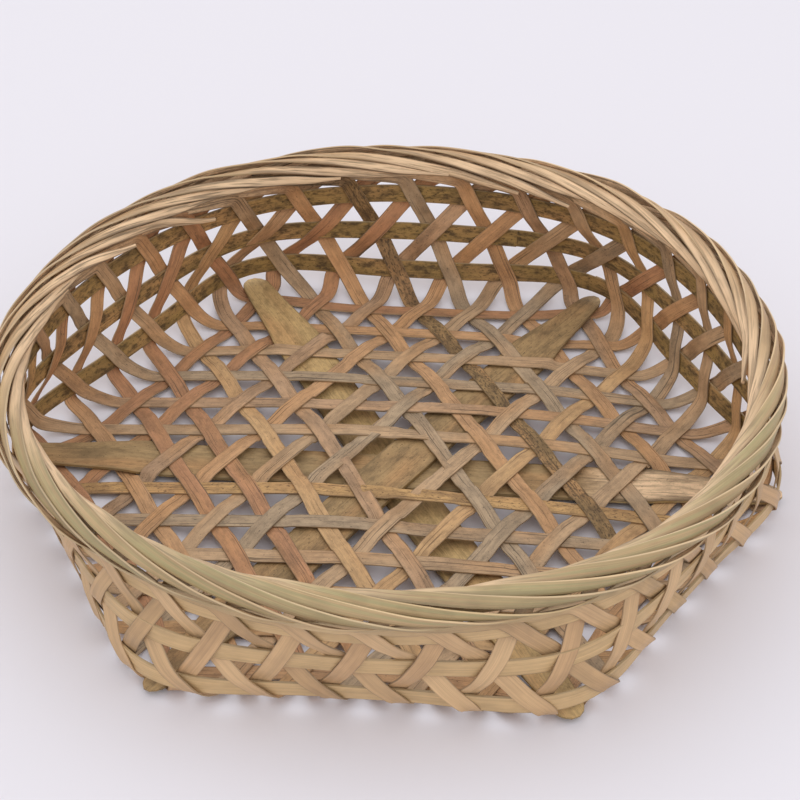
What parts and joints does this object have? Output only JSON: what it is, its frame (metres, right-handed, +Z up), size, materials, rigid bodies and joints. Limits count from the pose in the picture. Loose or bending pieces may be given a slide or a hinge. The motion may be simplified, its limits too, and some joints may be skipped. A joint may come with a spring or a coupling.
{
  "type": "woven bamboo basket",
  "caption": "Shallow round open basket of flat bamboo strips in an open triangular weave on a hexagonal floor, with hooped walls, corner-to-corner base slats and a wrapped rope-like rim.",
  "frame": {"origin": "middle of the basket's underside, on the surface that it stands on", "axes": "+Z up out of the open top, +X along the cross strips and the slat that runs with them, towards one corner of the hexagonal floor"},
  "size_m": [0.3484, 0.3484, 0.0747],
  "materials": {
    "weaving_strip": "dry split bamboo, matte",
    "wall_hoop": "bamboo with its olive skin on the inner face, matte",
    "base_slat": "thick bamboo slat with grey-olive skin, matte"
  },
  "bodies": {
    "root": {"cross_strip_01": "weaving_strip", "cross_strip_02": "weaving_strip", "cross_strip_03": "weaving_strip", "cross_strip_04": "weaving_strip", "cross_strip_05": "weaving_strip", "cross_strip_06": "weaving_strip", "cross_strip_07": "weaving_strip", "cross_strip_08": "weaving_strip", "cross_strip_09": "weaving_strip", "cross_strip_10": "weaving_strip", "cross_strip_11": "weaving_strip", "cross_strip_12": "weaving_strip", "right_lean_strip_01": "weaving_strip", "right_lean_strip_02": "weaving_strip", "right_lean_strip_03": "weaving_strip", "right_lean_strip_04": "weaving_strip", "right_lean_strip_05": "weaving_strip", "right_lean_strip_06": "weaving_strip", "right_lean_strip_07": "weaving_strip", "right_lean_strip_08": "weaving_strip", "right_lean_strip_09": "weaving_strip", "right_lean_strip_10": "weaving_strip", "right_lean_strip_11": "weaving_strip", "right_lean_strip_12": "weaving_strip", "left_lean_strip_01": "weaving_strip", "left_lean_strip_02": "weaving_strip", "left_lean_strip_03": "weaving_strip", "left_lean_strip_04": "weaving_strip", "left_lean_strip_05": "weaving_strip", "left_lean_strip_06": "weaving_strip", "left_lean_strip_07": "weaving_strip", "left_lean_strip_08": "weaving_strip", "left_lean_strip_09": "weaving_strip", "left_lean_strip_10": "weaving_strip", "left_lean_strip_11": "weaving_strip", "left_lean_strip_12": "weaving_strip", "base_slat_across": "base_slat", "base_slat_right": "base_slat", "base_slat_left": "base_slat", "lower_hoop": "wall_hoop", "middle_hoop": "wall_hoop", "upper_hoop": "wall_hoop"}
  },
  "joints": []
}
